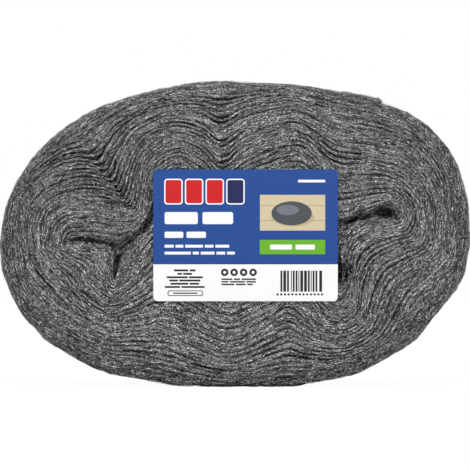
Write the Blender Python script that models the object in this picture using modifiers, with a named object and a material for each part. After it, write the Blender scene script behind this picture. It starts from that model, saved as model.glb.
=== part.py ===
# Steel wool bundle: one long ribbon of fine steel wool, rolled up, folded and pressed into an
# oval bundle that stands on its long side, with a printed label on the front end of the roll.
# Metres, +Z up. The front, where the turns show, faces -Y. The origin is under the middle of the
# bundle, on the surface that it rests on.

import math

import bmesh
import bpy

# Size of the bundle
BUNDLE_LENGTH = 0.220
BUNDLE_HEIGHT = 0.1432
RIBBON_WIDTH = 0.100

# The turns, each drawn as one ridge of the two end faces
TURN_COUNT = 12
GROOVE_DEPTH = 0.0017
TURN_WANDER = 0.0006
FACE_CROWN = 0.0016
SHOULDER_RADIUS = 0.011
TAIL_SHARE = 0.4
TAIL_RUN = 0.08
REST_SAG = 0.001

# The crevice that the innermost turn leaves open in the core
CORE_DEPTH = 0.009
CORE_LIP_RADIUS = 0.0025

# The label
LABEL_WIDTH = 0.0857
LABEL_HEIGHT = 0.0612
LABEL_THICKNESS = 0.0003
LABEL_CORNER_RADIUS = 0.002
LABEL_SHIFT_X = 0.0049
LABEL_SHIFT_Z = -0.0006
CLEARANCE = 0.0003

COLUMNS_PER_STATION = 3
WANDER_PERIOD = 2.6
LABEL_CELLS = (10, 7)
LABEL_CORNER_STEPS = 4

# The folds. Each station is a line across the turns, from the core over the middle of the turns
# to the rim, clockwise as the front shows them. A point is given from the middle of the bundle,
# as shares of half its length and half its height. The ribbon ends between the first station
# and the last.
FOLD_STATIONS = (
    ("right_lobe_top", (0.54, 0.14), (0.59, 0.53), (0.62, 0.88)),
    ("right_lobe", (0.63, 0.18), (0.72, 0.46), (0.79, 0.76)),
    ("right_tip_high", (0.68, 0.16), (0.82, 0.27), (0.94, 0.49)),
    ("right_tip", (0.69, 0.12), (0.84, 0.08), (1.00, 0.04)),
    ("right_tip_low", (0.65, 0.10), (0.81, -0.08), (0.98, -0.23)),
    ("under_right_tip", (0.57, 0.10), (0.72, -0.16), (0.92, -0.40)),
    ("right_kink", (0.46, 0.02), (0.63, -0.25), (0.85, -0.53)),
    ("after_right_kink", (0.45, -0.08), (0.58, -0.42), (0.77, -0.68)),
    ("right_foot_side", (0.47, -0.23), (0.55, -0.56), (0.66, -0.79)),
    ("right_foot", (0.45, -0.33), (0.46, -0.64), (0.50, -0.91)),
    ("right_valley", (0.41, -0.27), (0.36, -0.62), (0.38, -0.95)),
    ("peak_right", (0.35, 0.00), (0.29, -0.54), (0.30, -0.97)),
    ("peak", (0.23, 0.17), (0.23, -0.47), (0.23, -0.99)),
    ("peak_left", (0.12, 0.08), (0.13, -0.55), (0.12, -1.00)),
    ("dip", (-0.04, 0.00), (-0.03, -0.65), (-0.03, -1.00)),
    ("hump_right", (-0.16, 0.14), (-0.17, -0.56), (-0.17, -0.99)),
    ("hump", (-0.26, 0.25), (-0.26, -0.48), (-0.27, -0.97)),
    ("hump_left", (-0.34, 0.12), (-0.34, -0.48), (-0.35, -0.95)),
    ("left_foot_right", (-0.47, -0.12), (-0.42, -0.52), (-0.43, -0.93)),
    ("left_foot", (-0.51, -0.27), (-0.53, -0.55), (-0.55, -0.89)),
    ("left_foot_side", (-0.52, -0.18), (-0.67, -0.43), (-0.77, -0.72)),
    ("left_kink", (-0.51, -0.09), (-0.74, -0.31), (-0.89, -0.55)),
    ("under_left_tip", (-0.63, -0.07), (-0.82, -0.18), (-0.97, -0.33)),
    ("left_tip", (-0.70, -0.05), (-0.85, -0.06), (-1.00, -0.07)),
    ("left_shoulder", (-0.68, -0.02), (-0.83, 0.19), (-0.95, 0.29)),
    ("left_lobe", (-0.59, -0.01), (-0.69, 0.31), (-0.85, 0.52)),
    ("before_kink", (-0.49, -0.03), (-0.56, 0.31), (-0.78, 0.63)),
    ("kink", (-0.37, 0.12), (-0.47, 0.25), (-0.69, 0.73)),
    ("after_kink", (-0.34, 0.21), (-0.44, 0.38), (-0.62, 0.80)),
    ("arch_left", (-0.31, 0.31), (-0.39, 0.56), (-0.49, 0.88)),
    ("arch_top", (-0.24, 0.36), (-0.25, 0.67), (-0.29, 0.96)),
    ("arch_right", (-0.14, 0.25), (-0.14, 0.62), (-0.15, 0.99)),
    ("notch", (-0.05, 0.10), (-0.06, 0.52), (-0.06, 1.00)),
    ("after_notch", (0.05, 0.18), (0.05, 0.63), (0.05, 0.99)),
    ("second_arch", (0.28, 0.29), (0.26, 0.71), (0.23, 0.98)),
    ("second_notch", (0.43, 0.07), (0.43, 0.56), (0.43, 0.94)),
)

# Places where two turns stand apart, as a station, the share of the way from the core to the rim,
# how many stations the gap runs to each side, and its extra depth.
OPEN_GAPS = (
    ("kink", 0.56, 0.8, 0.0030),
    ("kink", 0.82, 0.9, 0.0035),
    ("notch", 0.45, 0.7, 0.0022),
    ("notch", 0.74, 0.8, 0.0032),
    ("second_notch", 0.43, 0.7, 0.0018),
    ("right_kink", 0.25, 0.9, 0.0020),
    ("peak", 0.60, 0.6, 0.0022),
    ("peak_right", 0.76, 1.0, 0.0032),
    ("hump_right", 0.78, 1.0, 0.0020),
    ("left_foot_right", 0.80, 1.2, 0.0018),
)

STEEL_GREY = (0.135, 0.135, 0.14, 1.0)
LABEL_BLUE = (0.03, 0.09, 0.40, 1.0)

COLUMNS = COLUMNS_PER_STATION * len(FOLD_STATIONS)
LAST_STEP = TURN_COUNT * COLUMNS
FRONT = -RIBBON_WIDTH / 2


def clear_scene():
    for thing in list(bpy.data.objects):
        bpy.data.objects.remove(thing, do_unlink=True)


def make_collection(name):
    group = bpy.data.collections.new(name)
    bpy.context.scene.collection.children.link(group)
    return group


def make_material(name, colour, metallic, roughness):
    material = bpy.data.materials.new(name)
    material.use_nodes = True
    shader = material.node_tree.nodes["Principled BSDF"]
    shader.inputs["Base Color"].default_value = colour
    shader.inputs["Metallic"].default_value = metallic
    shader.inputs["Roughness"].default_value = roughness
    material.diffuse_color = colour
    return material


def make_object(name, mesh, material, group, parent):
    thing = bpy.data.objects.new(name, mesh)
    thing.parent = parent
    mesh.materials.append(material)
    group.objects.link(thing)
    return thing


# A station's point, at a share of the way from the core to the rim, in metres. The section is
# drawn REST_SAG taller than the bundle, and the bundle's own weight presses that much flat.
def station_point(station, share):
    core, middle, rim = station[1:]
    core_part = (1 - share) * (1 - 2 * share)
    middle_part = 4 * share * (1 - share)
    rim_part = share * (2 * share - 1)
    across = core[0] * core_part + middle[0] * middle_part + rim[0] * rim_part
    up = core[1] * core_part + middle[1] * middle_part + rim[1] * rim_part
    x = across * BUNDLE_LENGTH / 2
    z = BUNDLE_HEIGHT - (1 - up) / 2 * (BUNDLE_HEIGHT + REST_SAG)
    return x, z


def blend(first, second, start, end, at):
    weight = (at - start) / (end - start)
    return tuple(a + (b - a) * weight for a, b in zip(first, second))


# A point on one closed turn, by a centripetal Catmull-Rom curve through the stations. The
# bundle is pressed flat where it rests.
def turn_point(column, share):
    station = column // COLUMNS_PER_STATION
    count = len(FOLD_STATIONS)
    near = [station_point(FOLD_STATIONS[(station + k) % count], share) for k in (-1, 0, 1, 2)]
    knot = [0.0]
    for one, other in zip(near, near[1:]):
        knot.append(knot[-1] + math.sqrt(math.dist(one, other)))
    at = knot[1] + (knot[2] - knot[1]) * (column % COLUMNS_PER_STATION) / COLUMNS_PER_STATION
    before = blend(near[0], near[1], knot[0], knot[1], at)
    between = blend(near[1], near[2], knot[1], knot[2], at)
    after = blend(near[2], near[3], knot[2], knot[3], at)
    before = blend(before, between, knot[0], knot[2], at)
    after = blend(between, after, knot[1], knot[3], at)
    x, z = blend(before, after, knot[1], knot[2], at)
    return x, max(z, 0.0)


# How many turns lie inside the gap between two turns, at a step along the spiral. Past the
# last full turn this is the bundle's outline, which drops by the ribbon's thin end and rises
# again over a short run beyond it.
def gap_turns(step):
    around = max(step - LAST_STEP, 0) / COLUMNS
    return min(step, LAST_STEP) / COLUMNS + TAIL_SHARE * min(around / TAIL_RUN, 1.0)


def share_of(turns):
    return turns / (TURN_COUNT + TAIL_SHARE)


# How far the front face stands behind its highest point, from its gentle crown alone.
def crown_drop(x, z):
    across = x / (BUNDLE_LENGTH / 2)
    up = (z - BUNDLE_HEIGHT / 2) / (BUNDLE_HEIGHT / 2)
    return FACE_CROWN * (across**2 + up**2)


def rounding_drop(distance, radius):
    if distance >= radius:
        return 0.0
    return radius - math.sqrt(radius**2 - (radius - max(distance, 0.0)) ** 2)


# The extra depth of the gap between two turns, where the folds hold them apart.
def open_gap_drop(column, share):
    drop = 0.0
    names = [station[0] for station in FOLD_STATIONS]
    for name, gap_share, spread, depth in OPEN_GAPS:
        along = (column - names.index(name) * COLUMNS_PER_STATION) / COLUMNS_PER_STATION
        across = (share - gap_share) * TURN_COUNT
        drop += depth * math.exp(-((along / spread) ** 2) - (across / 0.5) ** 2)
    return drop


def add_face_point(bm, step, turns, is_gap):
    column = step % COLUMNS
    share = share_of(turns)
    x, z = turn_point(column, share)
    to_rim = math.dist((x, z), turn_point(column, 1.0))
    to_core = math.dist((x, z), turn_point(column, 0.0))
    drop = crown_drop(x, z) + rounding_drop(to_rim, SHOULDER_RADIUS)
    drop += rounding_drop(to_core, CORE_LIP_RADIUS)
    if not is_gap:
        drop += TURN_WANDER * (1 - math.cos(math.tau * turns / WANDER_PERIOD)) / 2
    elif step < LAST_STEP:
        drop += GROOVE_DEPTH + open_gap_drop(column, share)
    return bm.verts.new((x, FRONT + drop, z))


# A wall of the bundle, from a ring of points on the front face straight back to depth y.
def add_wall(bm, ring, y):
    back = [bm.verts.new((point.co.x, y, point.co.z)) for point in ring]
    for k in range(len(ring)):
        bm.faces.new((ring[k - 1], ring[k], back[k], back[k - 1]))
    return back


# The front half of the roll, open at its middle plane. Each turn is a ridge between two gaps, on
# one spiral, so the ribbon's inner end shows in the core and its outer end on the rim.
def make_roll_mesh():
    bm = bmesh.new()
    gaps = [add_face_point(bm, k, gap_turns(k), True) for k in range(LAST_STEP + COLUMNS + 1)]
    ridges = []
    for k in range(LAST_STEP + 1):
        middle = (gap_turns(k) + gap_turns(k + COLUMNS)) / 2
        ridges.append(add_face_point(bm, k, middle, False))
    for k in range(LAST_STEP):
        inner, outer = k, k + COLUMNS
        bm.faces.new((gaps[inner], gaps[inner + 1], ridges[k + 1], ridges[k]))
        bm.faces.new((ridges[k], ridges[k + 1], gaps[outer + 1], gaps[outer]))
    add_wall(bm, gaps[LAST_STEP:] + [ridges[LAST_STEP]], 0.0)
    core_ring = [ridges[0]] + gaps[COLUMNS::-1]
    floor = add_wall(bm, core_ring, FRONT + CORE_DEPTH)
    bm.faces.new(floor)
    mesh = bpy.data.meshes.new("steel_wool_roll")
    bm.to_mesh(mesh)
    bm.free()
    mesh.shade_smooth()
    mesh.set_sharp_from_angle(angle=math.radians(60))
    return mesh


def make_roll(group, frame):
    wool = make_material("steel_wool", STEEL_GREY, metallic=0.6, roughness=0.6)
    roll = make_object("steel_wool_roll", make_roll_mesh(), wool, group, frame)
    back_half = roll.modifiers.new("back_half", "MIRROR")
    back_half.use_axis = (False, True, False)
    back_half.merge_threshold = 0.0001


# The label is a thin printed sheet with round corners, bowed to the crown of the front face.
def make_label_mesh(centre_x, centre_z):
    bm = bmesh.new()
    bmesh.ops.create_grid(bm, x_segments=LABEL_CELLS[0], y_segments=LABEL_CELLS[1], size=0.5)
    corners = [point for point in bm.verts if abs(point.co.x) > 0.49 and abs(point.co.y) > 0.49]
    for point in bm.verts:
        point.co.x *= LABEL_WIDTH
        point.co.y *= LABEL_HEIGHT
    bmesh.ops.bevel(
        bm,
        geom=corners,
        offset=LABEL_CORNER_RADIUS,
        segments=LABEL_CORNER_STEPS,
        profile=0.5,
        affect="VERTICES",
    )
    for point in bm.verts:
        across, up = point.co.x, point.co.y
        drop = crown_drop(centre_x + across, centre_z + up) - CLEARANCE
        point.co = (across, drop, up)
    mesh = bpy.data.meshes.new("label")
    bm.to_mesh(mesh)
    bm.free()
    return mesh


def make_label(group, frame):
    centre_x = LABEL_SHIFT_X
    centre_z = BUNDLE_HEIGHT / 2 + LABEL_SHIFT_Z
    paper = make_material("printed_label", LABEL_BLUE, metallic=0.0, roughness=0.45)
    label = make_object("label", make_label_mesh(centre_x, centre_z), paper, group, frame)
    label.location = (centre_x, FRONT, centre_z)
    thickness = label.modifiers.new("thickness", "SOLIDIFY")
    thickness.thickness = LABEL_THICKNESS
    thickness.offset = 1.0


def main():
    clear_scene()
    group = make_collection("steel_wool_bundle")
    frame = bpy.data.objects.new("bundle_frame", None)
    group.objects.link(frame)
    make_roll(group, frame)
    make_label(group, frame)


main()
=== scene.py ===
# Steel wool bundle: a ribbon of fine steel wool, rolled, folded and pressed into an oval bundle,
# with a printed label on its front end. Metres, +Z up, the front faces -Y.

import math
import random

import bpy
import numpy as np
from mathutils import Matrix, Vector
from mathutils.geometry import delaunay_2d_cdt
from numpy.linalg import norm


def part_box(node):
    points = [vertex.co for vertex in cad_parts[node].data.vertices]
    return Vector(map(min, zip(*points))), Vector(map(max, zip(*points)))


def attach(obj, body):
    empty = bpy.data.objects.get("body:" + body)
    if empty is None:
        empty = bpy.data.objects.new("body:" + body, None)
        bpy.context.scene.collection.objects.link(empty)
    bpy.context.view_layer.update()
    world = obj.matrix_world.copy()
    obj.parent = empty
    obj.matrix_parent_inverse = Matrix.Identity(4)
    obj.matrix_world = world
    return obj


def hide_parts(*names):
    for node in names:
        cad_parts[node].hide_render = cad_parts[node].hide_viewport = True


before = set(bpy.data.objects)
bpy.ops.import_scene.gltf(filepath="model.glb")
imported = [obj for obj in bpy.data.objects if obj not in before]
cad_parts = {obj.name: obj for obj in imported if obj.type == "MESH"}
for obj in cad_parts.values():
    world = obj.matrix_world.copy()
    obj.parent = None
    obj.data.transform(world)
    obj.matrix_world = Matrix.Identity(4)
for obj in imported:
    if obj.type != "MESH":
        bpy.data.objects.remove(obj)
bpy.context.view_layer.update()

rollLow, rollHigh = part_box("steel_wool_roll")
labelLow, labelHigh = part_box("label")
labelMiddle = [(a + b) / 2 for a, b in zip(labelLow, labelHigh)]
labelHalf = [(b - a) / 2 for a, b in zip(labelLow, labelHigh)]
print("frame loaded")


# Nodes and trees

def addNode(tree, kind, settings=None, **inputs):
    # inputs go by name, with _ for a space, or by number as i0, i1 and so on
    node = tree.nodes.new(kind)
    for name, value in (settings or {}).items():
        setattr(node, name, value)
    for name, value in inputs.items():
        socket = node.inputs[int(name[1:]) if name[1:].isdigit() else name.replace("_", " ")]
        if isinstance(value, bpy.types.NodeSocket):
            tree.links.new(value, socket)
        else:
            socket.default_value = value
    return node


def nodeOut(*kind, **inputs):
    return addNode(*kind, **inputs).outputs[0]


def treeOf(*values):
    # the tree that the first socket among some values is in
    return next(value.id_data for value in values if isinstance(value, bpy.types.NodeSocket))


def maths(operation, first, second=0.5, third=0.5):
    tree = treeOf(first, second, third)
    return nodeOut(tree, "ShaderNodeMath", {"operation": operation}, i0=first, i1=second, i2=third)


def scaled(value, factor, offset):
    return maths("MULTIPLY_ADD", value, factor, offset)


def product(value, *others):
    for other in others:
        value = maths("MULTIPLY", value, other)
    return value


def vectorMaths(operation, first, second):
    # the second value is a number for SCALE and a vector for the rest
    inputs = {"i0": first, "i3" if operation == "SCALE" else "i1": second}
    return nodeOut(treeOf(first, second), "ShaderNodeVectorMath", {"operation": operation}, **inputs)


def splitVector(vector):
    return addNode(vector.id_data, "ShaderNodeSeparateXYZ", i0=vector).outputs


def joinVector(tree, x=0.0, y=0.0, z=0.0):
    return nodeOut(tree, "ShaderNodeCombineXYZ", i0=x, i1=y, i2=z)


def namedValue(tree, name, kind="FLOAT"):
    return nodeOut(tree, "GeometryNodeInputNamedAttribute", {"data_type": kind}, Name=name)


def shaderValue(tree, name):
    return addNode(tree, "ShaderNodeAttribute", {"attribute_name": name}).outputs["Fac"]


def noise(place, scale, detail):
    return nodeOut(place.id_data, "ShaderNodeTexNoise", Vector=place, Scale=scale, Detail=detail)


def objectPlace(tree):
    return addNode(tree, "ShaderNodeTexCoord").outputs["Object"]


def mapRange(value, low, high, toLow, toHigh):
    return nodeOut(value.id_data, "ShaderNodeMapRange", i0=value, i1=low, i2=high, i3=toLow, i4=toHigh)


def newMaterial(name):
    material = bpy.data.materials.new(name)
    material.use_nodes = True
    material.node_tree.nodes.clear()
    return material, material.node_tree


def newTree(name, inputs):
    # the group's inputs get their kinds from the values given, None for the material
    tree = bpy.data.node_groups.new(name, "GeometryNodeTree")
    tree.interface.new_socket("Geometry", in_out="INPUT", socket_type="NodeSocketGeometry")
    for label, value in inputs.items():
        kind = {float: "Float", int: "Int", tuple: "Vector"}.get(type(value), "Material")
        socket = tree.interface.new_socket(label, in_out="INPUT", socket_type="NodeSocket" + kind)
        if value is not None:
            socket.default_value = value
    tree.interface.new_socket("Geometry", in_out="OUTPUT", socket_type="NodeSocketGeometry")
    return tree, tree.nodes.new("NodeGroupInput").outputs, tree.nodes.new("NodeGroupOutput")


def closeTree(tree, geometry, material, made):
    real = nodeOut(tree, "GeometryNodeRealizeInstances", Geometry=geometry)
    coated = nodeOut(tree, "GeometryNodeSetMaterial", Geometry=real, Material=material)
    tree.links.new(coated, made.inputs[0])
    return tree


def applyTree(thing, tree, values):
    # sets the modifier's inputs by identifier, turns the result into a plain mesh and drops the modifier
    modifier = thing.modifiers.new(tree.name, "NODES")
    modifier.node_group = tree
    sockets = {item.name: item.identifier for item in tree.interface.items_tree
               if item.item_type == "SOCKET" and item.in_out == "INPUT"}
    for name, value in values.items():
        modifier[sockets[name]] = value
    bpy.context.view_layer.update()
    graph = bpy.context.evaluated_depsgraph_get()
    mesh = bpy.data.meshes.new_from_object(thing.evaluated_get(graph), depsgraph=graph)
    thing.modifiers.remove(modifier)
    old = thing.data
    thing.data = mesh
    mesh.name = old.name
    bpy.data.meshes.remove(old)


def addObject(name, mesh):
    thing = bpy.data.objects.new(name, mesh)
    bpy.context.scene.collection.objects.link(thing)
    return thing


# The folds, as in the solid: each station is a line across the turns, with x and z at the core, at
# their middle and at the rim, in hundredths of half the length and half the height. They go clockwise
# from the ribbon's outer end

bundle = {
    "length": rollHigh[0] - rollLow[0],
    "height": rollHigh[2] - rollLow[2],
    "ribbonWidth": 0.100,
    "restSag": 0.001,  # how far its own weight flattens the underside
    "turns": 24,
    "tailTurns": 0.8,  # thickness of the ribbon's outer end, in turns
    "tailRun": 0.08,  # share of a turn over which the outline rises again past that end
    "faceCrown": 0.0016,
    "shoulder": 0.011,
}
middleZ = bundle["height"] / 2

foldStations = (
    ("rightLobeTop", 54, 12.5, 59, 53, 62, 88),
    ("rightLobe", 63, 18, 72, 46, 79, 76),
    ("rightTipHigh", 68, 15.5, 82, 27, 94, 49),
    ("rightTip", 69, 11, 84, 8, 100, 4),
    ("rightTipLow", 66, 10.5, 81, -8, 98, -23),
    ("underRightTip", 58, 11.5, 72, -16, 92, -40),
    ("rightKink", 47, 3, 63, -25, 85, -53),
    ("afterRightKink", 44, -9, 58, -42, 77, -68),
    ("rightFootSide", 46, -23, 55, -56, 66, -79),
    ("rightFoot", 45, -33, 46, -64, 50, -91),
    ("rightValley", 41, -27, 36, -62, 38, -95),
    ("peakRight", 35, 0, 29, -54, 30, -97),
    ("peak", 23, 17, 23, -47, 23, -99),
    ("peakLeft", 12, 8, 13, -55, 12, -100),
    ("dip", -4, 0, -3, -65, -3, -100),
    ("humpRight", -16, 14, -17, -56, -17, -99),
    ("hump", -26, 25, -26, -48, -27, -97),
    ("humpLeft", -34, 12, -34, -48, -35, -95),
    ("leftFootRight", -48, -15, -42, -52, -43, -93),
    ("leftFoot", -51, -27, -53, -55, -55, -89),
    ("leftFootSide", -50.5, -18, -67, -43, -77, -72),
    ("leftKink", -51, -9, -74, -31, -89, -55),
    ("underLeftTip", -63, -5.5, -82, -18, -97, -33),
    ("leftTip", -70, -5, -85, -6, -100, -7),
    ("leftShoulder", -68, -2, -83, 19, -95, 29),
    ("leftLobe", -58, -3, -69, 31, -85, 52),
    ("beforeKink", -48.5, -5.5, -56, 31, -78, 63),
    ("kink", -37.5, 9, -47, 25, -69, 73),
    ("afterKink", -34, 21, -44, 38, -62, 80),
    ("archLeft", -31, 31, -39, 56, -49, 88),
    ("archTop", -24, 36, -25, 67, -29, 96),
    ("archRight", -14, 25, -14, 62, -15, 99),
    ("notch", -5, 10, -6, 52, -6, 100),
    ("afterNotch", 5, 18, 5, 63, 5, 99),
    ("secondArch", 28, 29, 26, 71, 23, 98),
    ("secondNotch", 43, 6, 43, 56, 43, 94),
)

# where the folds hold two turns apart: station, how far past it, spread along the turns in stations,
# then pairs of place from core to rim, in hundredths, and depth in millimetres
openGaps = (
    ("kink", -0.3, 0.8, (36, 3.0), (42, 4.6), (48, 5.6), (54, 6.0), (60, 6.0), (66, 5.4)),
    ("kink", -0.2, 0.7, (73, 4.0)), ("kink", -0.2, 0.9, (80, 6.0)),
    ("notch", 0.0, 0.7, (45, 4.0), (60, 2.6)), ("notch", 0.0, 0.8, (74, 5.8)),
    ("notch", -0.1, 1.4, (86, 2.6)), ("secondNotch", 0.0, 0.7, (43, 2.8)),
    ("rightKink", 0.0, 0.9, (25, 3.4), (33, 2.6)), ("peak", 0.0, 0.6, (60, 3.6)),
    ("peakRight", 0.0, 1.0, (76, 4.8)), ("humpRight", 0.0, 1.0, (78, 3.0)),
    ("leftFootRight", 0.0, 1.2, (80, 2.8)), ("leftLobe", 0.3, 1.6, (90, 2.6)),
    ("beforeKink", 0.0, 1.2, (84, 3.0)), ("archTop", 0.0, 1.6, (80, 2.4)),
    ("archRight", 0.0, 1.0, (62, 2.2)), ("afterNotch", 0.4, 1.5, (91, 2.4)),
    ("leftShoulder", 0.0, 1.5, (93, 2.2)),
)

# where the innermost turn itself sinks: x and z from the middle of the face, spread along x and z, and
# depth, in millimetres
sunkenTurns = ((51.2, -18.2, 2.2, 3.4, 9.0),)

stationNames = [row[0] for row in foldStations]
stationTable = np.array([row[1:] for row in foldStations]).reshape(-1, 3, 2) / 100
stationCount = len(foldStations)


def stationPoint(station, share):
    core, middle, rim = np.moveaxis(stationTable[station % stationCount], -2, 0)
    share = share[..., None]
    point = core * (1 - share) * (1 - 2 * share) + middle * 4 * share * (1 - share)
    point = point + rim * share * (2 * share - 1)
    x = point[..., 0] * bundle["length"] / 2
    z = bundle["height"] - (1 - point[..., 1]) / 2 * (bundle["height"] + bundle["restSag"])
    return np.stack([x, z], -1)


def turnPoint(at, share):
    # a point on one closed turn, a centripetal spline through the stations; at counts stations
    at, share = np.broadcast_arrays(np.asarray(at, float), np.asarray(share, float))
    station = np.floor(at).astype(int)
    near = [stationPoint(station + k, share) for k in (-1, 0, 1, 2)]
    knot = [np.zeros(at.shape + (1,))]
    for one, other in zip(near, near[1:]):
        knot.append(knot[-1] + np.sqrt(norm(other - one, axis=-1, keepdims=True)))
    here = knot[1] + (knot[2] - knot[1]) * (at - station)[..., None]

    def between(one, other, start, end):
        return one + (other - one) * (here - knot[start]) / (knot[end] - knot[start])

    low, middle, high = (between(near[k], near[k + 1], k, k + 1) for k in range(3))
    point = between(between(low, middle, 0, 2), between(middle, high, 1, 3), 1, 2)
    point[..., 1] = np.maximum(point[..., 1], 0.0)
    return point


def crownDrop(x, z):
    across, up = x / (bundle["length"] / 2), (z - middleZ) / middleZ
    return bundle["faceCrown"] * (across ** 2 + up ** 2)


def roundingDrop(distance, radius):
    inner = radius - np.clip(distance, 0.0, radius)
    return radius - np.sqrt(np.maximum(radius ** 2 - inner ** 2, 0.0))


# The wool: one closed mesh of all the turns, on one spiral, ridged by a tree of its own

wool = {
    "columnsPerStation": 9,
    "rowPhases": (0.0, 0.15, 0.39, 0.63, 0.86),  # rows across one turn, which starts in a gap
    "pitch": 0.0021,  # usual thickness of one turn
    "openGapWidth": 0.6,  # spread of an open gap across the turns, in turns
    "sunkenGap": 0.3,  # part of a sunken turn's depth that opens its gap too
    "coreLip": 0.0012,  # radius of the innermost turn's edge
    "wrapRows": 18,
    "tailRagged": 0.0024,  # how far the ribbon's outer end wanders across its width
    "tailReach": 0.012,
    "tailWaves": ((1.0, 17.0, 0.0), (0.6, 39.0, 1.0)),  # share, radians over the width, start
    "rimFade": 0.0042,  # width at the outline over which the turns' relief fades out
    "turnShift": 0.613,  # shifts the finish from one turn to the next
    "coreStart": 3.0,  # where the finish starts on the core and on the wrap
    "wrapStart": 5.0,
}


def woolGrid():
    # turns from the core and phase across its turn for every row and column of one face
    columns = wool["columnsPerStation"] * stationCount
    phases = np.array(wool["rowPhases"])
    row = np.arange(bundle["turns"] * len(phases) + 1)
    rowTurns = row // len(phases) + phases[row % len(phases)]
    around = np.arange(columns + 1) / columns
    # the outline past the last full turn drops at the ribbon's end and rises again
    outline = bundle["turns"] + bundle["tailTurns"] * np.minimum(around / bundle["tailRun"], 1.0)
    base = bundle["turns"] - 1 + around
    thinned = base + (rowTurns - (bundle["turns"] - 1))[:, None] * (outline - base)
    last = row >= (bundle["turns"] - 1) * len(phases)
    turns = np.where(last[:, None], thinned, rowTurns[:, None] + around)
    return turns, np.broadcast_to((rowTurns % 1.0)[:, None], turns.shape)


def openGapDepth(at, share):
    depth = np.zeros(np.broadcast(at, share).shape)
    for name, shift, spread, *gaps in openGaps:
        along = at - stationNames.index(name) - shift
        along = (along + stationCount / 2) % stationCount - stationCount / 2
        for gapShare, gapDepth in gaps:
            across = (share - gapShare / 100) * bundle["turns"] / wool["openGapWidth"]
            depth += gapDepth / 1000 * np.exp(-(along / spread) ** 2 - across ** 2)
    return depth


def sinkDepth(rows, x, z):
    # how deep rows of (x, z, spread along x, spread along z, depth) in millimetres press in a face
    sink = np.zeros(np.shape(x))
    for atX, atZ, spreadX, spreadZ, depth in rows:
        offX = (x * 1000 - atX) / spreadX
        offZ = ((z - middleZ) * 1000 - atZ) / spreadZ
        sink = np.maximum(sink, depth / 1000 * np.exp(-(offX ** 2 + offZ ** 2)))
    return sink


def woolHalf(side):
    # one face of the roll without its core, as points and quads
    turns, phase = woolGrid()
    rows, columns = turns.shape[0] - 1, turns.shape[1] - 1
    perTurn = len(wool["rowPhases"])
    share = turns / (bundle["turns"] + bundle["tailTurns"])
    at = np.broadcast_to(np.arange(columns + 1) / wool["columnsPerStation"], turns.shape)
    flat = turnPoint(at, share)
    x, z = flat[..., 0], flat[..., 1]
    toCore, toRim = (norm(flat - turnPoint(at, end), axis=-1) for end in (0.0, 1.0))
    drop = crownDrop(x, z) + roundingDrop(toRim, bundle["shoulder"])
    sunken = sinkDepth(sunkenTurns, x, z)
    drop += roundingDrop(toCore, wool["coreLip"]) + sunken
    gap = openGapDepth(at, share) + wool["sunkenGap"] * sunken
    step = norm(np.diff(flat, axis=1), axis=-1)
    heading = np.gradient(flat, axis=1)
    heading /= np.maximum(norm(heading, axis=-1, keepdims=True), 1e-9)
    turnIndex = np.arange(rows + 1) // perTurn
    middleRow = np.minimum(turnIndex * perTurn + perTurn // 2, rows)
    along = np.concatenate([np.zeros((rows + 1, 1)), np.cumsum(step, axis=1)], axis=1)[middleRow]

    lastFull = (bundle["turns"] - 1) * perTurn
    index = -np.ones(turns.shape, int)
    index[:, :columns] = np.arange((rows + 1) * columns).reshape(rows + 1, columns)
    index[:lastFull + 1, columns] = index[perTurn:lastFull + perTurn + 1, 0]
    extra = np.arange(lastFull + 1, rows + 1)
    index[extra, columns] = (rows + 1) * columns + np.arange(len(extra))

    def gather(values):
        flatValues = values[:, :columns].reshape((-1,) + values.shape[2:])
        return np.concatenate([flatValues, values[extra, columns]])

    y = -side * (bundle["ribbonWidth"] / 2 - drop)
    data = {
        "points": gather(np.stack([x, y, z], -1)),
        "edge": gather(np.abs(2 * phase - 1)),
        "turn": gather(turns),
        "openGap": gather(gap),
        "rim": gather(np.clip(toRim / wool["rimFade"], 0, 1)),
        "wrap": gather(np.clip(1.0 - toRim / bundle["shoulder"], 0, 1)),
        "flow": gather(np.stack([heading[..., 0], np.zeros(turns.shape), heading[..., 1]], -1)),
    }
    r, c = np.meshgrid(np.arange(rows), np.arange(columns), indexing="ij")
    quads = np.stack([index[r, c], index[r, c + 1], index[r + 1, c + 1], index[r + 1, c]], -1)
    turnOf = turnIndex[r]
    low = (turnOf + phase[r, c]) * wool["pitch"]
    high = np.where((r + 1) % perTurn == 0, turnOf + 1.0, turnOf + phase[np.minimum(r + 1, rows), c])
    high = high * wool["pitch"]
    here, after = (along[r, k] + turnOf * wool["turnShift"] for k in (c, c + 1))
    corners = (here, low), (after, low), (after, high), (here, high)
    uvs = np.stack([np.stack(corner, -1) for corner in corners], axis=-2)
    outer = np.append(index[rows, :columns + 1], index[lastFull + 1:rows, columns][::-1])
    inner = np.append(index[0, :columns], index[1:perTurn + 1, 0][::-1])
    return data, quads.reshape(-1, 4), uvs.reshape(-1, 4, 2), outer, inner


def ringDistance(ring, points):
    # distance from each point to a closed ring, and how far round the ring its nearest place is
    span = np.roll(ring, -1, axis=0) - ring
    length = norm(span, axis=1)
    before = np.concatenate([[0.0], np.cumsum(length)[:-1]])
    toPoint = points[:, None, :] - ring
    part = np.clip((toPoint * span).sum(-1) / length ** 2, 0.0, 1.0)
    away = norm(toPoint - part[..., None] * span, axis=-1)
    nearest = away.argmin(axis=1)
    pick = np.arange(len(points))
    return away[pick, nearest], before[nearest] + part[pick, nearest] * length[nearest]


def insideRing(ring, points):
    x, z = points[:, 0:1], points[:, 1:2]
    x0, z0 = ring.T
    x1, z1 = np.roll(ring, -1, axis=0).T
    spans = (z0 > z) != (z1 > z)
    crossing = x0 + (z - z0) * (x1 - x0) / np.where(z1 == z0, 1.0, z1 - z0)
    return (spans & (x < crossing)).sum(axis=1) % 2 == 1


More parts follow.
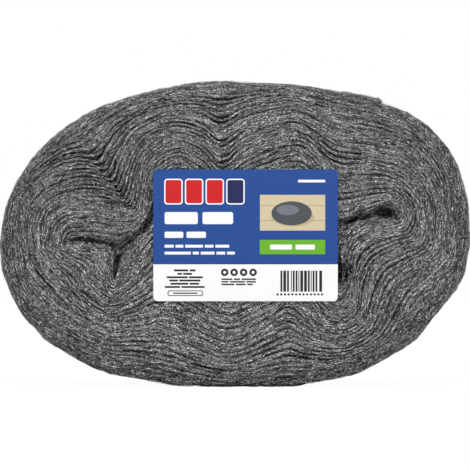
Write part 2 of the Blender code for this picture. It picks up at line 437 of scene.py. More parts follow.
def netOf(rings, loose, tolerance):
    # points, triangles and points' origins of a net over the first ring, with the edges of all rings
    places, edges = [], []
    for ring in rings:
        start, size = sum(map(len, places)), len(ring)
        edges += [(start + k, start + (k + 1) % size) for k in range(size)]
        places.append(ring)
    every = [Vector(place) for place in np.vstack(places + [loose])]
    made = delaunay_2d_cdt(every, edges, [list(range(len(rings[0])))], 1, tolerance)
    return np.array([tuple(point) for point in made[0]]), np.array(made[2]), made[3]


# where the crevice stays open, in the terms of sunkenTurns
openCore = (
    (70.5, 11.2, 6.0, 4.0, 13.0), (61.0, 7.5, 5.0, 3.0, 7.0), (51.0, -17.5, 5.0, 3.8, 15.0),
    (-54.0, -6.0, 6.0, 5.0, 5.0), (-56.0, -17.0, 3.0, 6.0, 6.0), (-41.5, 6.0, 9.0, 9.0, 6.0),
    (-20.0, 18.0, 9.0, 6.0, 6.0), (26.0, 8.0, 7.0, 7.0, 6.0),
)

# the innermost folds: a fine net of triangles over the core loop that slopes down to its middle
coreNet = {
    "spacing": 0.00048,
    "rowStep": 0.87,  # from one row of the net to the next, in spacings
    "jitter": 0.12,  # how far its points are shifted, in spacings
    "clearance": 0.45,  # from the innermost turn to the first points, in spacings
    "seed": 5,
    "probe": 0.0004,  # reach over which the slope is measured
    "slope": 0.0016,
    "slopeRun": 0.0012,
    "seam": 0.0060,  # depth of the line where both sides of the crevice meet
    "seamFrom": 1.15,
    "seamPower": 1.5,
    "holeRun": 0.0011,
    "holePower": 0.7,
    "rim": 0.8,  # part of the turns' relief that reaches the core
}


def coreFill(ring, ringY, side):
    spacing, probe = coreNet["spacing"], coreNet["probe"]
    low, high = ring.min(axis=0), ring.max(axis=0)
    columns = int((high[0] - low[0]) / spacing) + 1
    rows = int((high[1] - low[1]) / (spacing * coreNet["rowStep"])) + 1
    row, column = np.meshgrid(np.arange(rows), np.arange(columns), indexing="ij")
    dice = np.random.default_rng(coreNet["seed"])
    jitter = dice.uniform(-coreNet["jitter"], coreNet["jitter"], (rows * columns, 2))
    z = low[1] + row * spacing * coreNet["rowStep"]
    grid = np.stack([low[0] + (column + (row % 2) * 0.5) * spacing, z], -1)
    grid = grid.reshape(-1, 2) + jitter * spacing
    grid = grid[insideRing(ring, grid)]
    grid = grid[ringDistance(ring, grid)[0] > spacing * coreNet["clearance"]]
    points, triangles, origins = netOf([ring], grid, 1e-9)
    origin = np.array([ids[0] if ids else -1 for ids in origins])
    onRing = (origin >= 0) & (origin < len(ring))
    x, z = points.T
    distance, around = ringDistance(ring, points)
    slopeX, slopeZ = (ringDistance(ring, points + step)[0] - ringDistance(ring, points - step)[0]
                      for step in ([probe, 0], [0, probe]))
    slope = np.hypot(slopeX, slopeZ) / (2 * probe)
    seam = np.clip(coreNet["seamFrom"] - slope, 0.0, 1.0) ** coreNet["seamPower"]
    face = bundle["ribbonWidth"] / 2 - crownDrop(x, z)
    fall = wool["coreLip"] + coreNet["slope"] * (1 - np.exp(-distance / coreNet["slopeRun"]))
    hole = sinkDepth(openCore, x, z)
    hole = hole * np.clip(distance / coreNet["holeRun"], 0.0, 1.0) ** coreNet["holePower"]
    fall += coreNet["seam"] * seam + hole
    fall = np.maximum(fall, sinkDepth(sunkenTurns, x, z))
    y = -side * (face - fall)
    y[onRing] = ringY[origin[onRing]]
    flow = np.stack([-slopeZ, np.zeros(len(points)), slopeX], -1)
    flow /= np.maximum(norm(flow, axis=1, keepdims=True), 1e-9)
    flow[norm(flow, axis=1) < 0.5] = (1.0, 0.0, 0.0)
    return {
        "points": np.stack([x, y, z], -1), "triangles": triangles,
        "origin": np.where(onRing, origin, -1), "distance": distance, "around": around, "flow": flow,
    }


def woolMesh():
    # lists to which points with their values, and faces with their UVs, are added
    values = {name: [] for name in ("points", "edge", "turn", "openGap", "rim", "wrap", "flow")}
    faces, faceUvs, rings = [], [], []
    count = 0

    def addPoints(**given):
        nonlocal count
        size = len(given["points"])
        for name, store in values.items():
            part = given.get(name, 1.0 if name == "rim" else 0.0)
            store.append(np.broadcast_to(part, (size, 3) if name in ("points", "flow") else (size,)))
        count += size
        return count - size + np.arange(size)

    for side in (1.0, -1.0):
        data, quads, uvs, outer, inner = woolHalf(side)
        index = addPoints(**data)
        rings.append(index[outer])
        loop = data["points"][inner]
        fill = coreFill(loop[:, [0, 2]], loop[:, 1], side)
        fresh = fill["origin"] < 0
        turn = -fill["distance"] / wool["pitch"]
        quads, index = index[quads], index[inner][fill["origin"]]
        index[fresh] = addPoints(points=fill["points"][fresh], edge=np.abs(2 * (turn % 1.0) - 1)[fresh],
                                 turn=turn[fresh], rim=coreNet["rim"], flow=fill["flow"][fresh])
        triangles = fill["triangles"]
        uv = np.stack([fill["around"] + wool["coreStart"], -fill["distance"]], -1)[triangles]
        jump = np.ptp(uv[..., 0], axis=1) > 0.01
        uv[jump, :, 0] = uv[jump, :1, 0]
        triangles = index[triangles]
        one, two, three = (fill["points"][fill["triangles"][:, k]] for k in range(3))
        faceUp = np.cross(two - one, three - one)[:, 1] * side < 0
        triangles[~faceUp], uv[~faceUp] = triangles[~faceUp, ::-1], uv[~faceUp, ::-1]
        if side < 0:
            quads, uvs = quads[:, ::-1], uvs[:, ::-1]
        faces += [quads, triangles]
        faceUvs += [uvs, uv]

    # the outer wrap, between the rims of the two faces
    start, end = (np.vstack(values["points"])[ring] for ring in rings)
    step = norm(np.diff(np.vstack([start, start[:1]]), axis=0), axis=1)
    around = np.concatenate([[0.0], np.cumsum(step)]) + wool["wrapStart"]
    tangent = np.roll(start, -1, axis=0) - np.roll(start, 1, axis=0)
    tangent[:, 1] = 0.0
    tangent /= norm(tangent, axis=1, keepdims=True)
    fromTail = np.minimum(around[:-1] - around[0], around[-1] - around[:-1])
    ragged = wool["tailRagged"] * np.clip(1.0 - fromTail / wool["tailReach"], 0.0, 1.0)
    previous, previousY = rings[0], start[:, 1]
    for k in range(1, wool["wrapRows"] + 1):
        part = k / wool["wrapRows"]
        y = start[:, 1] + (end[:, 1] - start[:, 1]) * part
        ring = rings[1]
        if k < wool["wrapRows"]:
            waves = (size * math.sin(rate * part + first) for size, rate, first in wool["tailWaves"])
            shift = ragged * sum(waves)
            ring = addPoints(points=np.stack([start[:, 0], y, start[:, 2]], -1) + tangent * shift[:, None],
                             flow=tangent, turn=float(bundle["turns"]), rim=0.0, wrap=1.0)
        faces.append(np.stack([previous, np.roll(previous, -1), np.roll(ring, -1), ring], -1))
        corners = ((around[:-1], previousY), (around[1:], np.roll(previousY, -1)),
                   (around[1:], np.roll(y, -1)), (around[:-1], y))
        faceUvs.append(np.stack([np.stack(corner, -1) for corner in corners], axis=1))
        previous, previousY = ring, y

    mesh = bpy.data.meshes.new("woolRoll")
    polygons = [face for part in faces for face in part.tolist()]
    mesh.from_pydata(np.vstack(values["points"]).tolist(), [], polygons)
    mesh.update()
    for name in ("edge", "turn", "openGap", "rim", "wrap"):
        data = np.concatenate(values[name]).astype(np.float32)
        mesh.attributes.new(name, "FLOAT", "POINT").data.foreach_set("value", data)
    flow = np.vstack(values["flow"]).astype(np.float32).ravel()
    mesh.attributes.new("flow", "FLOAT_VECTOR", "POINT").data.foreach_set("vector", flow)
    flatUv = np.concatenate([part.ravel() for part in faceUvs]).astype(np.float32)
    mesh.uv_layers.new(name="alongTurns").data.foreach_set("uv", flatUv)
    mesh.shade_smooth()
    return mesh


def noise4(position, scale, w, detail=2.0, colour=False):
    node = addNode(position.id_data, "ShaderNodeTexNoise", {"noise_dimensions": "4D"}, Scale=1.0,
                   Detail=detail, Vector=vectorMaths("SCALE", position, scale), W=w)
    return node.outputs[1 if colour else 0]


def shake(position, scale, w):
    # a vector of noise around zero
    return vectorMaths("SUBTRACT", noise4(position, scale, w, 1.0, colour=True), (0.5, 0.5, 0.5))


def keptUp(geometry, lowest):
    # raises what is below a height to that height
    tree = geometry.id_data
    x, y, z = splitVector(nodeOut(tree, "GeometryNodeInputPosition"))
    raised = joinVector(tree, x, y, maths("MAXIMUM", z, lowest))
    return nodeOut(tree, "GeometryNodeSetPosition", Geometry=geometry, Position=raised)


# the relief of all turns in metres, and its seed, under the names of the tree's inputs
relief = {
    "Gap Depth": 0.0019, "Turn Wander": 0.0015, "Lumps": 0.0006, "Rim Lumps": 0.0018, "Fuzz": 0.0003,
    "Waver": 0.0007, "Seed": 3.0,
}

# noise scales and the shape of a gap
form = {
    "gapPower": 4.0,  # how narrow a usual gap is, against an open one
    "openGapPower": 1.8,
    "gapScale": 40.0,
    "opening": (5.0, -1.85),  # spread and offset of how far gaps are open, never below the least
    "leastOpening": 0.1,
    "gapSeed": 2.3,
    "turnSeed": 3.7,
    "turnScale": 32.0,
    "turnMargin": 0.02,  # keeps a turn's first row off the turn before
    "lumpScale": 95.0,
    "lumpRise": -0.42,  # on the wrap, so that its lumps go out as well as in, and its fuzz too
    "fuzzScale": 420.0,
    "fuzzRise": -0.5,
    "waverScale": 110.0,
    "lowest": 0.0002,  # the wool keeps off the floor by this
}


def reliefTree():
    tree, given, made = newTree("turnRelief", {**relief, "Material": None})
    turn, edge, openGap, rim, wrap = (namedValue(tree, name) for name in
                                      ("turn", "edge", "openGap", "rim", "wrap"))
    position = nodeOut(tree, "GeometryNodeInputPosition")
    seed = given["Seed"]

    # the gaps between turns open and close along each turn
    valley = maths("POWER", edge, form["gapPower"])
    opening = noise4(position, form["gapScale"], scaled(maths("ROUND", turn), form["gapSeed"], seed))
    opening = maths("MAXIMUM", scaled(opening, *form["opening"]), form["leastOpening"])
    depth = product(given["Gap Depth"], opening, valley)
    wide = maths("POWER", edge, form["openGapPower"])
    depth = product(scaled(openGap, wide, depth), rim)

    # each turn stands at its own height, with lumps and fuzz over all
    layer = maths("FLOOR", maths("ADD", turn, form["turnMargin"]))
    height = noise4(position, form["turnScale"], scaled(layer, form["turnSeed"], seed))
    wander = product(height, given["Turn Wander"], rim)
    lumpSize = scaled(wrap, given["Rim Lumps"], given["Lumps"])
    lumps = scaled(wrap, form["lumpRise"], noise4(position, form["lumpScale"], seed))
    fuzz = scaled(wrap, form["fuzzRise"], noise4(position, form["fuzzScale"], seed, 3.0))
    low = scaled(lumps, lumpSize, maths("ADD", depth, wander))
    low = scaled(fuzz, given["Fuzz"], low)
    offset = vectorMaths("SCALE", nodeOut(tree, "GeometryNodeInputNormal"), product(low, -1.0))

    # and the turns waver a little within the face
    waver = shake(position, form["waverScale"], seed)
    waver = vectorMaths("MULTIPLY", waver, (1.0, 0.0, 1.0))
    waver = vectorMaths("SCALE", waver, product(given["Waver"], rim))
    moved = nodeOut(tree, "GeometryNodeSetPosition", Geometry=given["Geometry"],
                    Offset=vectorMaths("ADD", offset, waver))
    # the depth of the gaps, which the wool's material also turns into painted shade
    stored = nodeOut(tree, "GeometryNodeStoreNamedAttribute", {"data_type": "FLOAT", "domain": "POINT"},
                     Geometry=moved, Name="hollow", Value=depth)
    return closeTree(tree, keptUp(stored, form["lowest"]), given["Material"], made)


# The wool's finish: matted fibres along the turns, with painted shade between them and painted glints as
# bright flecks

woolFinish = {
    # length along the turns, width, detail and roughness of the noise, and its part in the whole
    # the flecks and streaks: partly the fibres' own tone, partly painted glints and painted shade between
    # the fibres
    "flecks": (0.0011, 0.00030, 3.0, 0.7, 0.62),
    "streaks": (0.009, 0.0011, 2.0, 0.6, 0.38),
    "glintAndShadeTones": (0.42, 0.62, 0.004, 0.22),  # from this range of noise to this range of tone
    # painted shade: the deeper a gap between turns, the darker the wool
    "paintedGapShade": (0.0002, 0.0022, 1.0, 0.18),  # the same from a gap's depth
    "leastGrain": 0.1,
    "bump": {"Strength": 0.7, "Distance": 0.0004},
    "shader": {"Metallic": 0.45, "Roughness": 0.55},
}

# what the wool and the loose fibres share: light and dark specks of about a third of a millimetre,
# and painted shade, darker on the wrap and toward both ends of the oval
shading = {"grainScale": 3300.0, "grain": (30.0, -14.6), "wrap": -0.42, "ends": -0.22}


def sharedLevels(tree, leastGrain):
    place = objectPlace(tree)
    grain = scaled(noise(place, shading["grainScale"], 0.0), *shading["grain"])
    across = maths("DIVIDE", splitVector(place)[0], bundle["length"] / 2)
    # the grain, then painted shade on the wrap, then painted shade toward both ends of the oval
    return (maths("MAXIMUM", grain, leastGrain),
            scaled(shaderValue(tree, "wrap"), shading["wrap"], 1.0),
            scaled(product(across, across), shading["ends"], 1.0))


def greyShader(tree, tone, **inputs):
    colour = nodeOut(tree, "ShaderNodeCombineColor", i0=tone, i1=tone, i2=tone)
    shader = nodeOut(tree, "ShaderNodeBsdfPrincipled", Base_Color=colour, **inputs)
    addNode(tree, "ShaderNodeOutputMaterial", i0=shader)


def woolMaterial():
    material, tree = newMaterial("steelWool")
    uv = nodeOut(tree, "ShaderNodeUVMap", {"uv_map": "alongTurns"})

    def stretchedNoise(length, width, detail, roughness, part):
        place = vectorMaths("MULTIPLY", uv, (1 / length, 1 / width, 1.0))
        noise2 = nodeOut(tree, "ShaderNodeTexNoise", {"noise_dimensions": "2D"}, Vector=place,
                         Scale=1.0, Detail=detail, Roughness=roughness)
        return product(noise2, part)

    # painted glints and painted shade of the fibres, as a noise along the turns
    mixed = maths("ADD", stretchedNoise(*woolFinish["flecks"]), stretchedNoise(*woolFinish["streaks"]))
    glintAndShadeTones = mapRange(mixed, *woolFinish["glintAndShadeTones"])
    # painted shade in the gaps between turns
    paintedGapShade = mapRange(shaderValue(tree, "hollow"), *woolFinish["paintedGapShade"])
    # painted shade on the wrap and toward both ends of the oval
    grain, wrapShade, endShade = sharedLevels(tree, woolFinish["leastGrain"])
    tone = product(glintAndShadeTones, paintedGapShade, grain, wrapShade, endShade)
    bump = nodeOut(tree, "ShaderNodeBump", Height=mixed, **woolFinish["bump"])
    greyShader(tree, tone, Normal=bump, **woolFinish["shader"])
    return material


def makeWool():
    roll = addObject("woolRoll", woolMesh())
    applyTree(roll, reliefTree(), {**relief, "Material": woolMaterial()})
    print("wool roll:", len(roll.data.polygons), "faces")
    return roll


# Loose fibres: fine bent wires that lie along the turns, scattered over the roll

fibres = {
    # part of the roll, fibres per square metre, seed, length, radius, spread off the turns' direction
    # (radians), curl, height off the wool, free margin round the label
    "frontFibresA": ("front", 5.6e5, 11, 0.0018, 0.00011, 0.40, 0.0006, 0.0003, -0.001),
    "frontFibresB": ("front", 5.6e5, 23, 0.0018, 0.00011, 0.40, 0.0006, 0.0003, -0.001),
    "backFibres": ("back", 4.4e5, 37, 0.0022, 0.00013, 0.40, 0.0006, 0.0003, -1.0),
    "wrapFibres": ("wrap", 1.4e5, 41, 0.0032, 0.00012, 0.35, 0.0006, 0.0003, -1.0),
    "strayFibres": ("all", 2.2e4, 59, 0.0120, 0.00007, 0.90, 0.0050, 0.0005, 0.009),
}

wireForm = {
    "points": {"strayFibres": 6},  # points along one fibre, 3 for the rest
    "deepest": 0.00036,  # no fibre lies in a gap deeper than this
    "wrapFrom": 0.35,  # part of the shoulder that counts as wrap, and as face
    "faceTo": 0.9,
    "overMiddle": 0.0005,  # how far one side's fibres may start past the ribbon's middle
    "sizes": (0.5, 1.5),
    "curlScale": 190.0,
    "rippleScale": 500.0,
    "ripple": 1.6,
    "stand": (1.2, -0.75),
    "taperPower": 3.0,
    "taper": -0.65,
}

wireFinish = {
    "brightPower": 2.2,  # few fibres are bright
    "bright": (1.33, 0.012),
    "leastGrain": 0.03,
    # painted shade: fibres darker toward a turn's gaps, and also darker on its middle
    "shadePower": 3.0,  # darker toward a turn's gaps and on its middle
    "edge": (-0.85, 1.25),
    "middle": -0.5,
    "leastLight": 0.2,
    "shader": {"Metallic": 0.75, "Roughness": 0.42},
}


def randomFloat(tree, low, high, seed):
    node = addNode(tree, "FunctionNodeRandomValue", {"data_type": "FLOAT"}, i2=low, i3=high, i8=seed)
    return node.outputs[1]


def fibreTree():
    tree, given, made = newTree("fibres", {
        "Density": 1e5, "Side": 1.0, "Wrap From": 0.0, "Wrap To": 1.0, "Clear Centre": (0.0, 0.0, 0.0),
        "Clear Width": 0.0, "Clear Height": 0.0, "Length": 0.006, "Radius": 0.0001, "Spread": 0.3,
        "Curl": 0.001, "Lift": 0.0003, "Deepest": 0.0005, "Points": 6, "Seed": 0, "Material": None,
    })
    body = given["Geometry"]
    position = nodeOut(tree, "GeometryNodeInputPosition")
    place = splitVector(vectorMaths("SUBTRACT", position, given["Clear Centre"]))
    depth = splitVector(position)[1]
    wrap = namedValue(tree, "wrap")
    pastFrom = maths("GREATER_THAN", wrap, given["Wrap From"])
    beforeTo = maths("LESS_THAN", wrap, given["Wrap To"])
    onSide = maths("LESS_THAN", product(depth, given["Side"]), wireForm["overMiddle"])
    clearX = maths("SUBTRACT", maths("ABSOLUTE", place[0]), given["Clear Width"])
    clearZ = maths("SUBTRACT", maths("ABSOLUTE", place[2]), given["Clear Height"])
    clear = maths("GREATER_THAN", maths("MAXIMUM", clearX, clearZ), 0.0)
    clear = maths("MAXIMUM", clear, maths("GREATER_THAN", depth, 0.0))
    shallow = maths("LESS_THAN", namedValue(tree, "hollow"), given["Deepest"])
    chosen = product(pastFrom, beforeTo, onSide, clear, shallow)
    scatter = addNode(tree, "GeometryNodeDistributePointsOnFaces", {"distribute_method": "RANDOM"},
                      Mesh=body, Selection=chosen, Density=given["Density"], Seed=given["Seed"])

    # one straight wire along the flow at each point, then bent and laid on the surface
    points = scatter.outputs[0]
    for name, low, high in (("tone", 0.0, 1.0), ("wire", 0.0, 900.0), ("stand", 0.0, 1.0)):
        seed = maths("ADD", given["Seed"], float(len(name)))
        points = nodeOut(tree, "GeometryNodeStoreNamedAttribute", {"data_type": "FLOAT"}, Geometry=points,
                         Name=name, Value=randomFloat(tree, low, high, seed))
    gap = maths("DIVIDE", given["Length"], maths("SUBTRACT", given["Points"], 1.0))
    start = product(given["Length"], -0.5)
    line = nodeOut(tree, "GeometryNodeMeshLine", Count=given["Points"],
                   Offset=joinVector(tree, gap), Start_Location=joinVector(tree, start))
    along = nodeOut(tree, "FunctionNodeAlignRotationToVector", {"axis": "X"},
                    Vector=namedValue(tree, "flow", "FLOAT_VECTOR"))
    upright = nodeOut(tree, "FunctionNodeAlignRotationToVector", {"axis": "Z", "pivot_axis": "X"},
                      Rotation=along, Vector=scatter.outputs[1])
    yaw = randomFloat(tree, -1.0, 1.0, maths("ADD", given["Seed"], 9.0))
    yaw = product(yaw, maths("ABSOLUTE", yaw), given["Spread"])
    turned = nodeOut(tree, "FunctionNodeAxisAngleToRotation", Axis=(0, 0, 1), Angle=yaw)
    facing = nodeOut(tree, "FunctionNodeRotateRotation", {"rotation_space": "LOCAL"}, i0=upright, i1=turned)
    size = randomFloat(tree, *wireForm["sizes"], maths("ADD", given["Seed"], 12.0))
    wires = nodeOut(tree, "GeometryNodeInstanceOnPoints", Points=points, Instance=line, Rotation=facing,
                    Scale=size)
    real = nodeOut(tree, "GeometryNodeRealizeInstances", Geometry=wires)
    wire, stand = namedValue(tree, "wire"), namedValue(tree, "stand")
    curl = shake(position, wireForm["curlScale"], wire)
    bent = nodeOut(tree, "GeometryNodeSetPosition", Geometry=real,
                   Offset=vectorMaths("SCALE", curl, given["Curl"]))
    near = nodeOut(tree, "GeometryNodeProximity", {"target_element": "FACES"}, i0=body)
    surface = nodeOut(tree, "GeometryNodeSampleNearestSurface", {"data_type": "FLOAT_VECTOR"}, Mesh=body,
                      Value=nodeOut(tree, "GeometryNodeInputNormal"))
    ripple = noise4(position, wireForm["rippleScale"], wire, 1.0)
    height = scaled(ripple, wireForm["ripple"], scaled(stand, *wireForm["stand"]))
    raised = vectorMaths("SCALE", surface, product(height, given["Lift"]))
    laid = nodeOut(tree, "GeometryNodeSetPosition", Geometry=bent, Position=vectorMaths("ADD", near, raised))
    curves = nodeOut(tree, "GeometryNodeMeshToCurve", Mesh=laid)
    part = nodeOut(tree, "GeometryNodeSplineParameter")
    taper = maths("POWER", maths("ABSOLUTE", scaled(part, 2.0, -1.0)), wireForm["taperPower"])
    taper = scaled(taper, wireForm["taper"], 1.0)
    section = nodeOut(tree, "GeometryNodeCurvePrimitiveCircle", Resolution=3, Radius=1.0)
    tubes = nodeOut(tree, "GeometryNodeCurveToMesh", Curve=curves, Fill_Caps=True,
                    Profile_Curve=section, Scale=product(taper, given["Radius"]))
    return closeTree(tree, keptUp(tubes, 0.0), given["Material"], made)


def fibreMaterial():
    material, tree = newMaterial("looseFibres")
    bright = maths("POWER", shaderValue(tree, "tone"), wireFinish["brightPower"])
    bright = scaled(bright, *wireFinish["bright"])
    # painted shade toward a turn's gaps, and darker on a turn's middle
    edge = shaderValue(tree, "edge")
    level = scaled(maths("POWER", edge, wireFinish["shadePower"]), *wireFinish["edge"])
    middle = maths("POWER", maths("SUBTRACT", 1.0, edge), wireFinish["shadePower"])
    level = maths("MAXIMUM", scaled(middle, wireFinish["middle"], level), wireFinish["leastLight"])
    # painted shade on the wrap and toward both ends of the oval
    grain, wrapShade, endShade = sharedLevels(tree, wireFinish["leastGrain"])
    greyShader(tree, product(bright, grain, level, wrapShade, endShade), **wireFinish["shader"])
    return material


def makeFibres(roll):
    tree, material = fibreTree(), fibreMaterial()
    made = []
    for name, (region, *sizes, margin) in fibres.items():
        thing = addObject(name, roll.data.copy())
        wrapFrom, wrapTo = {"wrap": (wireForm["wrapFrom"], 2.0), "all": (-1.0, 2.0)}.get(
            region, (-1.0, wireForm["faceTo"]))
        applyTree(thing, tree, {
            **dict(zip(("Density", "Seed", "Length", "Radius", "Spread", "Curl", "Lift"), sizes)),
            "Points": wireForm["points"].get(name, 3), "Deepest": wireForm["deepest"],
            "Side": {"front": 1.0, "back": -1.0}.get(region, 0.0),
            "Wrap From": wrapFrom, "Wrap To": wrapTo, "Clear Centre": labelMiddle, "Material": material,
            "Clear Width": labelHalf[0] + margin, "Clear Height": labelHalf[2] + margin,
        })
        thing.data.shade_smooth()
        made.append(thing)
        print(name + ":", len(thing.data.polygons), "faces")
    return made


# The label: one printed sheet on the front face, with plain bars and fields of colour

label = {
    "corner": 0.002,
    "thickness": 0.0003,
    "gap": 0.0003,  # how far it lies off the wool
    "netStep": 0.003,
    "cloud": (60.0, 3.0),  # scale and detail of its noises
    "grain": (2600.0, 2.0),
    "roughness": (0.16, 0.36),  # by the grain, and without it
}

# ink colours as they show on screen, red, green and blue from 0 to 255
inks = {
    "white": (253, 253, 253), "blue": (19, 70, 148), "red": (208, 12, 20), "navy": (10, 24, 80),
    "green": (106, 179, 33), "sand": (214, 200, 164), "plank": (192, 176, 138), "pad": (74, 78, 84),
    "padLight": (116, 121, 128), "ink": (24, 24, 28),
}


def barRow(ink, left, low, high, widths, gap):
    shapes = []
    for width in widths:
        shapes.append((ink, left, low, left + width, high))
        left += width + gap
    return shapes


def labelShapes():
    # places in millimetres from the middle of the label, later shapes over earlier ones
    shapes = [("blue", -60.0, -13.5, 60.0, 60.0)]
    for k, ink in enumerate(("red", "red", "red", "navy")):
        left = -37.8 + 9.6 * k
        shapes += [("white", left, 14.3, left + 8.6, 26.3, 1.5),
                   (ink, left + 0.6, 14.9, left + 8.0, 25.7, 1.0)]
    for low, high, corner, spans in ((5.2, 10.8, 0.9, ((-37.6, -22.2), (-20.0, -5.8))),
                                     (-1.2, 1.7, 0.6, ((-37.6, -28.9), (-27.4, -18.4)))):
        shapes += [("white", left, low, right, high, corner) for left, right in spans]
    for left, low, high, widths in ((-37.6, -5.7, -4.4, (4.2, 3.6, 8.2, 4.0, 6.4)),
                                    (-37.6, -8.9, -7.6, (12.2, 2.8, 6.4, 4.0, 3.6)),
                                    (24.4, 24.6, 25.8, (12.6,))):
        shapes += barRow("white", left, low, high, widths, 0.9)
    shapes += [("sand", 6.7, 2.2, 37.0, 18.8), ("plank", 6.7, 13.6, 37.0, 14.1),
               ("plank", 6.7, 6.6, 37.0, 7.1), ("plank", "disc", 22.0, 8.3, 10.0, 4.2),
               ("pad", "disc", 21.4, 10.2, 9.4, 5.6), ("padLight", "disc", 19.6, 11.8, 5.2, 2.4),
               ("green", 6.6, -8.8, 37.0, -2.1), ("white", 11.4, -6.6, 21.6, -4.3, 0.4),
               ("white", 23.2, -6.6, 32.2, -4.3, 0.4)]
    middle, half = -28.25, 0.3  # middle of some rows of two bars, and half the gap between the bars
    for z, reach, cut in ((-16.3, 5.0, 0.4), (-17.9, 3.4, -0.3), (-19.5, 8.4, 0.2), (-21.0, 7.2, -0.4),
                          (-22.5, 6.6, 0.3), (-24.0, 9.2, -0.2)):
        spans = (-reach, cut * reach - half), (cut * reach + half, reach)
        shapes += [("ink", middle + left, z - 0.45, middle + right, z + 0.45) for left, right in spans]
    shapes += [("ink", -36.2, -28.2, -19.8, -25.6, 0.8),
               ("white", -35.8, -27.8, -20.2, -26.0, 0.5),
               ("ink", -33.6, -27.2, -22.4, -26.6)]
    for x in (-9.7, -5.3, -0.9, 3.5):
        shapes += [("ink", "disc", x, -17.2, 1.75, 1.75), ("white", "disc", x, -17.2, 0.7, 0.7)]
    for z, widths in ((-20.4, (5.0, 3.0, 6.6)), (-21.6, (3.2, 7.0, 4.4)), (-22.8, (6.0, 4.6, 2.6))):
        shapes += barRow("ink", -11.2, z - 0.36, z + 0.36, widths, 0.7)
    # thick and thin upright bars in a fixed random order, and a row of dots under them
    dice = random.Random(8)
    x, dark = 16.2, True
    while x < 34.6:
        width = 0.44 * dice.choice((1, 2, 2, 3) if dark else (1, 1, 2))
        if dark:
            shapes.append(("ink", x, -26.2, x + width, -16.4))
        x, dark = x + width, not dark
    return shapes + barRow("ink", 14.4, -27.9, -27.0, [1.0] * 13, 0.72)


def shapeOutline(*sizes):
    # a disc has a middle and two radii, a box two opposite corners and, where it is rounded, a radius
    if sizes[0] == "disc":
        x, z, acrossRadius, upRadius = sizes[1:]
        turnAngles = np.linspace(0, 2 * math.pi, 36, endpoint=False)
        return np.stack([x + acrossRadius * np.cos(turnAngles), z + upRadius * np.sin(turnAngles)], -1)
    left, low, right, high, *corner = sizes
    if not corner:
        return np.array([(left, low), (right, low), (right, high), (left, high)])
    radius, outline = corner[0], []
    for x, z, start in ((right - radius, low + radius, -90), (right - radius, high - radius, 0),
                        (left + radius, high - radius, 90), (left + radius, low + radius, 180)):
        for step in range(7):
            angle = math.radians(start + 15 * step)
            outline.append((x + radius * math.cos(angle), z + radius * math.sin(angle)))
    return np.array(outline)


def fromScreen(colour):
    values = [value / 255 for value in colour]
    return [value / 12.92 if value <= 0.04045 else ((value + 0.055) / 1.055) ** 2.4 for value in values]


def inkMaterial(name, colour):
    material, tree = newMaterial("label" + name[0].upper() + name[1:])
    place = objectPlace(tree)
    grain = noise(place, *label["grain"])
    level = scaled(grain, 0.05, scaled(noise(place, *label["cloud"]), 0.05, 0.95))
    bump = nodeOut(tree, "ShaderNodeBump", Height=grain, Strength=0.12, Distance=0.00005)
    shader = nodeOut(tree, "ShaderNodeBsdfPrincipled", Specular_IOR_Level=0.35, Normal=bump,
                     Base_Color=vectorMaths("SCALE", fromScreen(colour), level),
                     Roughness=scaled(grain, *label["roughness"]))
    addNode(tree, "ShaderNodeOutputMaterial", i0=shader)
    return material


def makeLabel():
    halfWide, halfHigh = labelHalf[0] * 1000, labelHalf[2] * 1000
    step = label["netStep"] * 1000
    rim = shapeOutline(-halfWide, -halfHigh, halfWide, halfHigh, label["corner"] * 1000)
    fine = []
    for one, other in zip(rim, np.roll(rim, -1, axis=0)):
        steps = max(1, round(norm(other - one) / step))
        fine += [one + (other - one) * k / steps for k in range(steps)]
    rim = np.array(fine)
    shapes = labelShapes()
    outlines = [shapeOutline(*shape[1:]) for shape in shapes]
    net = np.stack(np.meshgrid(np.arange(-halfWide + step, halfWide - 1, step),
                               np.arange(-halfHigh + step, halfHigh - 1, step)), -1).reshape(-1, 2)
    points, triangles = netOf([rim] + outlines, net, 1e-6)[:2]
    triangles = triangles[insideRing(rim, points[triangles].mean(axis=1))]
    used, renumbered = np.unique(triangles, return_inverse=True)
    points, triangles = points[used], renumbered.reshape(-1, 3)
    centres = points[triangles].mean(axis=1)
    inkNames = list(inks)
    colours = np.zeros(len(triangles), int)
    for shape, outline in zip(shapes, outlines):
        colours[insideRing(outline, centres)] = inkNames.index(shape[0])

    # the printed face, the back face behind it and the cut edge between them
    x, z = points[:, 0] / 1000 + labelMiddle[0], points[:, 1] / 1000 + labelMiddle[2]
    backY = -bundle["ribbonWidth"] / 2 + crownDrop(x, z) - label["gap"]
    sheet = [np.stack([x, backY - label["thickness"], z], -1), np.stack([x, backY, z], -1)]
    one, two, three = (points[triangles[:, k]] for k in range(3))
    first, second = two - one, three - one
    clockwise = first[:, 0] * second[:, 1] - first[:, 1] * second[:, 0] < 0
    triangles[clockwise] = triangles[clockwise, ::-1]
    size = len(points)
    sides = dict.fromkeys(side for a, b, c in triangles.tolist() for side in ((a, b), (b, c), (c, a)))
    border = [side for side in sides if side[::-1] not in sides]
    faces = triangles.tolist() + (triangles[:, ::-1] + size).tolist()
    faces += [[b, a, a + size, b + size] for a, b in border]
    mesh = bpy.data.meshes.new("labelSheet")
    mesh.from_pydata(np.vstack(sheet).tolist(), [], faces)
    for name in inkNames:
        mesh.materials.append(inkMaterial(name, inks[name]))
    slots = np.concatenate([colours, np.zeros(len(faces) - len(colours), int)])
    mesh.polygons.foreach_set("material_index", slots.astype(np.int32))
    mesh.update()
    mesh.validate()
    print("label:", len(mesh.polygons), "faces")
    return addObject("labelSheet", mesh)


# Stage: pale floor, even light, the camera level with the bundle

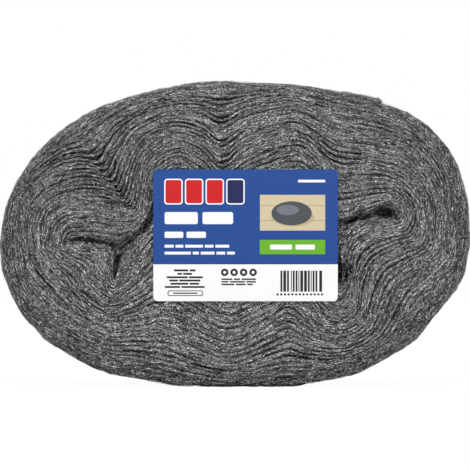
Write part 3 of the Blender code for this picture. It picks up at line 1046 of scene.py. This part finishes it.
stage = {
    "middleZ": 152 * 0.22 / 470,  # height of the picture's middle line
    "cameraDistance": 1.5,
    "clip": (0.1, 50.0),
    "worldLight": 0.66,  # on the bundle, and 1 where the camera sees it
    "floorReach": 6.0,
    "floorPaint": 0.9,
    "floorGlow": 1.02,
    "glowPart": 0.95,
    "aim": (0.0, 0.0, 0.07),
    "lamps": {  # place, size and power
        "keyLamp": ((-0.15, -1.1, 0.80), 0.7, 4.3),
        "topLamp": ((0.1, -0.2, 1.1), 0.8, 2.0),
        "fillLamp": ((0.8, -0.9, 0.35), 0.6, 0.9),
        "rearLamp": ((-0.5, 1.1, 0.7), 0.8, 2.0),
    },
}


def makeStage():
    scene = bpy.context.scene
    scene.view_settings.view_transform = "Standard"
    world = bpy.data.worlds.new("softRoom")
    scene.world = world
    world.use_nodes = True
    tree = world.node_tree
    tree.nodes.clear()
    ray = tree.nodes.new("ShaderNodeLightPath").outputs
    seen = maths("MAXIMUM", ray["Is Camera Ray"], ray["Is Glossy Ray"])
    seen = maths("MAXIMUM", seen, ray["Is Transmission Ray"])
    strength = nodeOut(tree, "ShaderNodeMix", i0=seen, i2=stage["worldLight"], i3=1.0)
    back = nodeOut(tree, "ShaderNodeBackground", Color=(1, 1, 1, 1), Strength=strength)
    addNode(tree, "ShaderNodeOutputWorld", i0=back)

    floorMesh = bpy.data.meshes.new("floor")
    corners = ((-1, -1), (1, -1), (1, 1), (-1, 1))
    floorMesh.from_pydata([(x * stage["floorReach"], y * stage["floorReach"], 0) for x, y in corners],
                          [], [(0, 1, 2, 3)])
    floor = addObject("floor", floorMesh)
    material, tree = newMaterial("paleFloor")
    ray = tree.nodes.new("ShaderNodeLightPath").outputs
    paint = nodeOut(tree, "ShaderNodeBsdfDiffuse", Color=[stage["floorPaint"]] * 3 + [1])
    glow = nodeOut(tree, "ShaderNodeEmission", Color=(1, 1, 1, 1), Strength=stage["floorGlow"])
    mixed = nodeOut(tree, "ShaderNodeMixShader", i0=product(ray["Is Camera Ray"], stage["glowPart"]),
                    i1=paint, i2=glow)
    addNode(tree, "ShaderNodeOutputMaterial", i0=mixed)
    floorMesh.materials.append(material)

    for name, (place, size, power) in stage["lamps"].items():
        lamp = bpy.data.lights.new(name, "AREA")
        lamp.size, lamp.energy = size, power
        thing = addObject(name, lamp)
        thing.location = place
        aim = Vector(stage["aim"]) - Vector(place)
        thing.rotation_euler = aim.to_track_quat("-Z", "Y").to_euler()

    camera = addObject("camera", bpy.data.cameras.new("camera"))
    silhouette = -bundle["ribbonWidth"] / 2 + bundle["shoulder"]
    camera.location = (0.0, silhouette - stage["cameraDistance"], stage["middleZ"])
    camera.rotation_euler = (math.radians(90), 0, 0)
    camera.data.lens = camera.data.sensor_width * stage["cameraDistance"] / bundle["length"]
    camera.data.clip_start, camera.data.clip_end = stage["clip"]
    scene.camera = camera
    print("stage ready")


makeStage()
woolRoll = makeWool()
looseFibres = makeFibres(woolRoll)
labelSheet = makeLabel()

for piece in [woolRoll] + looseFibres:
    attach(piece, "root")
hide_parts("steel_wool_roll")
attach(labelSheet, "root")
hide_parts("label")
